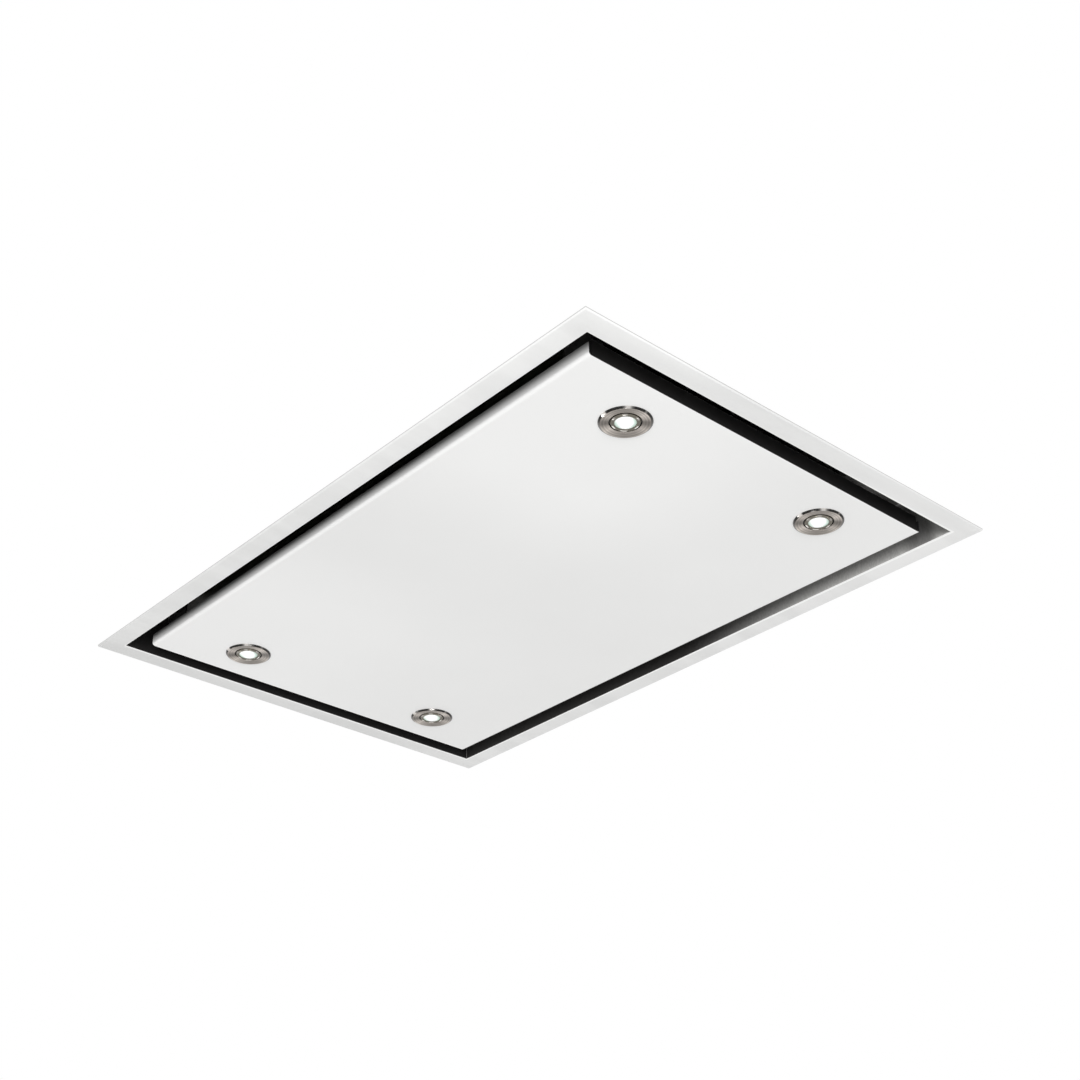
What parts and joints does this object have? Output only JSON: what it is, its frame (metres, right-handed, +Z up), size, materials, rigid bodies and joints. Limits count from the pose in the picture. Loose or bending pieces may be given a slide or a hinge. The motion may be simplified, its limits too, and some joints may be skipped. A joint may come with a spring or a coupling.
{
  "type": "ceiling range hood",
  "caption": "Ceiling range hood with a hinged white panel, a dark suction slot round it, tilting spots, grease filters, a scroll blower and a damped round outlet.",
  "frame": {"origin": "centre of the hood on the ceiling plane, which the trim frame's upper edge and seal touch", "axes": "+X along the hood towards the duct outlet, +Y across it towards the panel's hinge, +Z up into the ceiling void"},
  "size_m": [0.937, 0.6, 0.265],
  "materials": {
    "white_paint": "satin white powder coat",
    "dark_paint": "satin dark coat",
    "galvanised": "spangled galvanised sheet",
    "zinc_screw": "zinc-plated",
    "filter_alu": "rolled aluminium",
    "filter_mesh": "expanded aluminium mesh",
    "foam": "closed-cell foam",
    "rubber": "moulded rubber",
    "black_plastic": "moulded, fine texture",
    "grey_plastic": "moulded, fine texture",
    "motor_steel": "lacquered lamination steel",
    "fan_steel": "galvanised",
    "cap_alu": "drawn aluminium",
    "nickel_brushed": "turned and brushed",
    "nickel_polished": "polished",
    "lamp_lens": "opal lens, lit",
    "ferrite": "moulded magnet case",
    "heat_sink": "die-cast"
  },
  "bodies": {
    "chassis": {"trim_frame": "white_paint", "ceiling_seal": "foam", "slot_liner": "dark_paint", "front_wall": "galvanised", "rear_wall": "galvanised", "left_wall": "galvanised", "outlet_wall": "galvanised", "top_cover": "galvanised", "cover_screws": "zinc_screw", "suspension_brackets": "galvanised", "suspension_screws": "zinc_screw", "filter_deck": "galvanised", "deck_screws": "zinc_screw", "filter_front_rail": "galvanised", "filter_rear_rail": "galvanised", "latch_keepers": "filter_alu", "blower_scroll": "galvanised", "blower_inlet_plate": "galvanised", "motor_stator": "motor_steel", "rubber_mounts": "rubber", "outlet_transition": "black_plastic", "outlet_collar": "black_plastic", "damper_pin": "zinc_screw", "control_box": "grey_plastic", "control_box_cover": "grey_plastic", "led_driver": "heat_sink", "motor_capacitor": "cap_alu", "cable_gland": "grey_plastic", "hinge_brackets": "galvanised", "catch_brackets": "dark_paint", "catch_magnets": "ferrite", "filter_frame_left": "filter_alu", "filter_mesh_left": "filter_mesh", "filter_frame_middle": "filter_alu", "filter_mesh_middle": "filter_mesh", "filter_frame_right": "filter_alu", "filter_mesh_right": "filter_mesh"},
    "panel": {"panel_face": "white_paint", "panel_back_cover": "dark_paint", "hinge_lugs": "galvanised", "hinge_pins": "zinc_screw", "strike_plates": "zinc_screw", "spot_bezels": "nickel_brushed", "spot_cans": "heat_sink"},
    "fan": {"impeller": "fan_steel", "motor_rotor": "motor_steel"},
    "damper_rear": {"damper_flap_rear": "grey_plastic"},
    "damper_front": {"damper_flap_front": "grey_plastic"},
    "latch_left": {"filter_latch_left": "black_plastic"},
    "latch_middle": {"filter_latch_middle": "black_plastic"},
    "latch_right": {"filter_latch_right": "black_plastic"},
    "spot_front_left": {"spot_swivel_front_left": "nickel_polished", "spot_lens_front_left": "lamp_lens"},
    "spot_front_right": {"spot_swivel_front_right": "nickel_polished", "spot_lens_front_right": "lamp_lens"},
    "spot_rear_right": {"spot_swivel_rear_right": "nickel_polished", "spot_lens_rear_right": "lamp_lens"},
    "spot_rear_left": {"spot_swivel_rear_left": "nickel_polished", "spot_lens_rear_left": "lamp_lens"}
  },
  "joints": [
    {"name": "panel_hinge", "type": "hinge", "parent": "chassis", "child": "panel", "pos_m": [0, 0.234, 0.024], "axis": [1, 0, 0], "range_deg": [0, 90]},
    {"name": "impeller_spin", "type": "hinge", "parent": "chassis", "child": "fan", "pos_m": [0.011, -0.106, 0.14], "axis": [0, 0, 1], "continuous": true},
    {"name": "damper_rear_swing", "type": "hinge", "parent": "chassis", "child": "damper_rear", "pos_m": [0.401, 0.00297, 0.15], "axis": [0, 0, -1], "range_deg": [0, 78], "stiffness_Nm_per_rad": 0.01, "springref_deg": -11.46},
    {"name": "damper_front_swing", "type": "hinge", "parent": "chassis", "child": "damper_front", "pos_m": [0.401, 0.00297, 0.15], "axis": [0, 0, 1], "range_deg": [0, 78], "stiffness_Nm_per_rad": 0.01, "springref_deg": -11.46},
    {"name": "latch_slide_left", "type": "slide", "parent": "chassis", "child": "latch_left", "axis": [0, 1, 0], "range_m": [0, 0.005], "stiffness_N_per_m": 300, "springref_m": -0.004},
    {"name": "latch_slide_middle", "type": "slide", "parent": "chassis", "child": "latch_middle", "axis": [0, 1, 0], "range_m": [0, 0.005], "stiffness_N_per_m": 300, "springref_m": -0.004},
    {"name": "latch_slide_right", "type": "slide", "parent": "chassis", "child": "latch_right", "axis": [0, 1, 0], "range_m": [0, 0.005], "stiffness_N_per_m": 300, "springref_m": -0.004},
    {"name": "spot_tilt_front_left", "type": "hinge", "parent": "panel", "child": "spot_front_left", "pos_m": [-0.343, -0.147, 0.001], "axis": [1, 0, 0], "range_deg": [-15, 15]},
    {"name": "spot_tilt_front_right", "type": "hinge", "parent": "panel", "child": "spot_front_right", "pos_m": [0.343, -0.147, 0.001], "axis": [1, 0, 0], "range_deg": [-15, 15]},
    {"name": "spot_tilt_rear_right", "type": "hinge", "parent": "panel", "child": "spot_rear_right", "pos_m": [0.343, 0.147, 0.001], "axis": [1, 0, 0], "range_deg": [-15, 15]},
    {"name": "spot_tilt_rear_left", "type": "hinge", "parent": "panel", "child": "spot_rear_left", "pos_m": [-0.343, 0.147, 0.001], "axis": [1, 0, 0], "range_deg": [-15, 15]}
  ]
}
